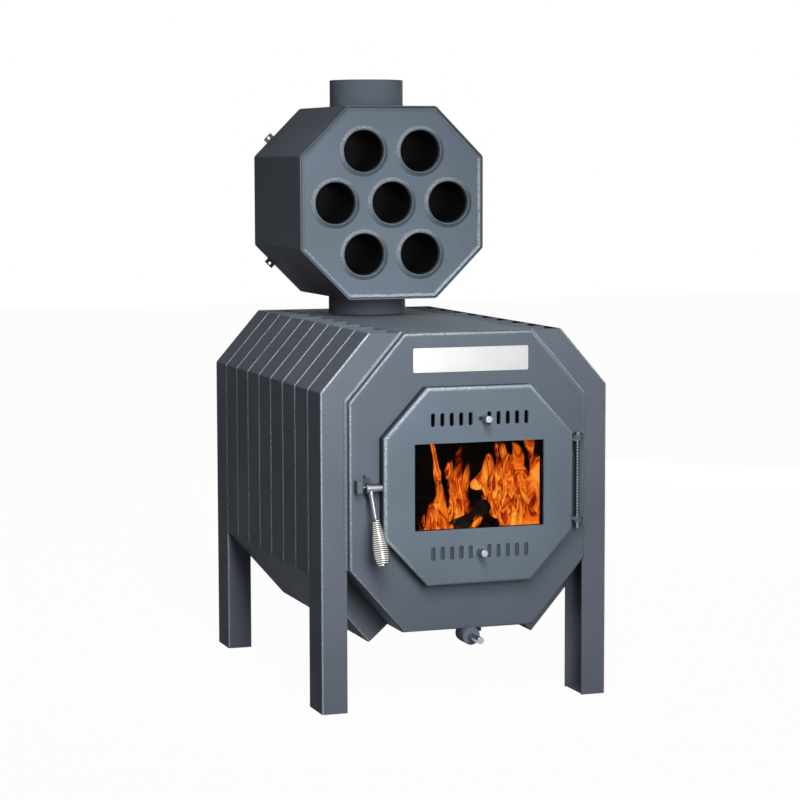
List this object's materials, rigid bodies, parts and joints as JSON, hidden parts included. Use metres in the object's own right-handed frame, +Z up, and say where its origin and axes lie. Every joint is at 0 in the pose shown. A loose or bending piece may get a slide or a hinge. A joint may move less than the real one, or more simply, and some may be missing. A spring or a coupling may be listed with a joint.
{
  "type": "workshop stove",
  "caption": "Wood-burning workshop hot-air stove: octagonal firebox in bent air channels, glazed door, and an octagonal tube heat exchanger on its flue.",
  "frame": {"origin": "middle of the object's own box at floor level", "axes": "+X to the viewer's right when facing the door, +Y to the back, +Z up"},
  "size_m": [0.565, 0.8294, 1.1758],
  "materials": {
    "front_paint": "satin anthracite heat-resistant paint on the faces that look forward",
    "body_paint": "satin anthracite heat-resistant paint on channels, legs and drum",
    "weld_paint": "painted weld bead with ripples",
    "tube_steel": "painted steel tube, dark inside",
    "inner_steel": "bare steel inside the fire",
    "zinc": "bright zinc plating",
    "nickel": "bright nickel-plated wire",
    "spring_steel": "plain spring steel wire",
    "stainless": "brushed stainless sheet, bare",
    "dark_steel": "blackened steel",
    "fire_brick": "dry-laid fire brick",
    "rope": "woven glass-fibre rope and tape",
    "pane": "heat-resistant clear glass"
  },
  "bodies": {
    "stove": {"leg_front_left": "body_paint", "leg_front_right": "body_paint", "leg_rear_left": "body_paint", "leg_rear_right": "body_paint", "foot_plates": "body_paint", "duct_left_1": "body_paint", "duct_left_2": "body_paint", "duct_left_3": "body_paint", "duct_left_4": "body_paint", "duct_left_5": "body_paint", "duct_left_6": "body_paint", "duct_left_7": "body_paint", "duct_right_1": "body_paint", "duct_right_2": "body_paint", "duct_right_3": "body_paint", "duct_right_4": "body_paint", "duct_right_5": "body_paint", "duct_right_6": "body_paint", "duct_right_7": "body_paint", "firebox_drum": "body_paint", "drum_rear_plate": "body_paint", "front_plate": "front_paint", "seam_welds": "weld_paint", "flue_collar": "body_paint", "fire_bricks": "fire_brick", "baffle_plate": "inner_steel", "baffle_rails": "inner_steel", "name_plate": "stainless", "primary_air_pipe": "front_paint", "latch_keeper": "front_paint", "plate_hinge_ears": "body_paint", "hinge_pin": "zinc", "hinge_spring": "spring_steel"},
    "door": {"door_shell": "front_paint", "door_hinge_ears": "body_paint", "door_liner": "inner_steel", "door_rope_seal": "rope", "door_glass": "pane", "glass_gasket": "rope", "glass_clips": "inner_steel", "glass_screws": "zinc", "slide_guides": "inner_steel", "latch_pivot": "zinc"},
    "latch": {"latch_hub": "zinc", "latch_catch": "dark_steel", "latch_lever": "zinc", "latch_grip": "nickel"},
    "upper_air_slide": {"upper_slide": "inner_steel", "upper_slide_knob": "zinc"},
    "lower_air_slide": {"lower_slide": "inner_steel", "lower_slide_knob": "zinc"},
    "air_valve": {"air_valve_disc": "front_paint", "air_valve_knob": "zinc"},
    "exchanger": {"exchanger_shell": "body_paint", "exchanger_front_plate": "front_paint", "exchanger_rear_plate": "front_paint", "exchanger_tubes": "tube_steel", "exchanger_welds": "weld_paint", "exchanger_ears": "body_paint", "flue_stubs": "body_paint"}
  },
  "joints": [
    {"name": "door_hinge", "type": "hinge", "parent": "stove", "child": "door", "pos_m": [0.2088, -0.36931, 0.418], "axis": [0, 0, 1], "range_deg": [0, 110]},
    {"name": "latch_turn", "type": "hinge", "parent": "door", "child": "latch", "pos_m": [-0.19, -0.36681, 0.42], "axis": [-1, 0, 0], "range_deg": [0, 75]},
    {"name": "upper_air_pull", "type": "slide", "parent": "door", "child": "upper_air_slide", "axis": [1, 0, 0], "range_m": [-0.0085, 0]},
    {"name": "lower_air_pull", "type": "slide", "parent": "door", "child": "lower_air_slide", "axis": [1, 0, 0], "range_m": [0, 0.0085]},
    {"name": "air_valve_pull", "type": "slide", "parent": "stove", "child": "air_valve", "axis": [0, -1, 0], "range_m": [0, 0.02]},
    {"name": "exchanger_lift", "type": "slide", "parent": "stove", "child": "exchanger", "axis": [0, 0, 1], "range_m": [0, 0.06]}
  ]
}
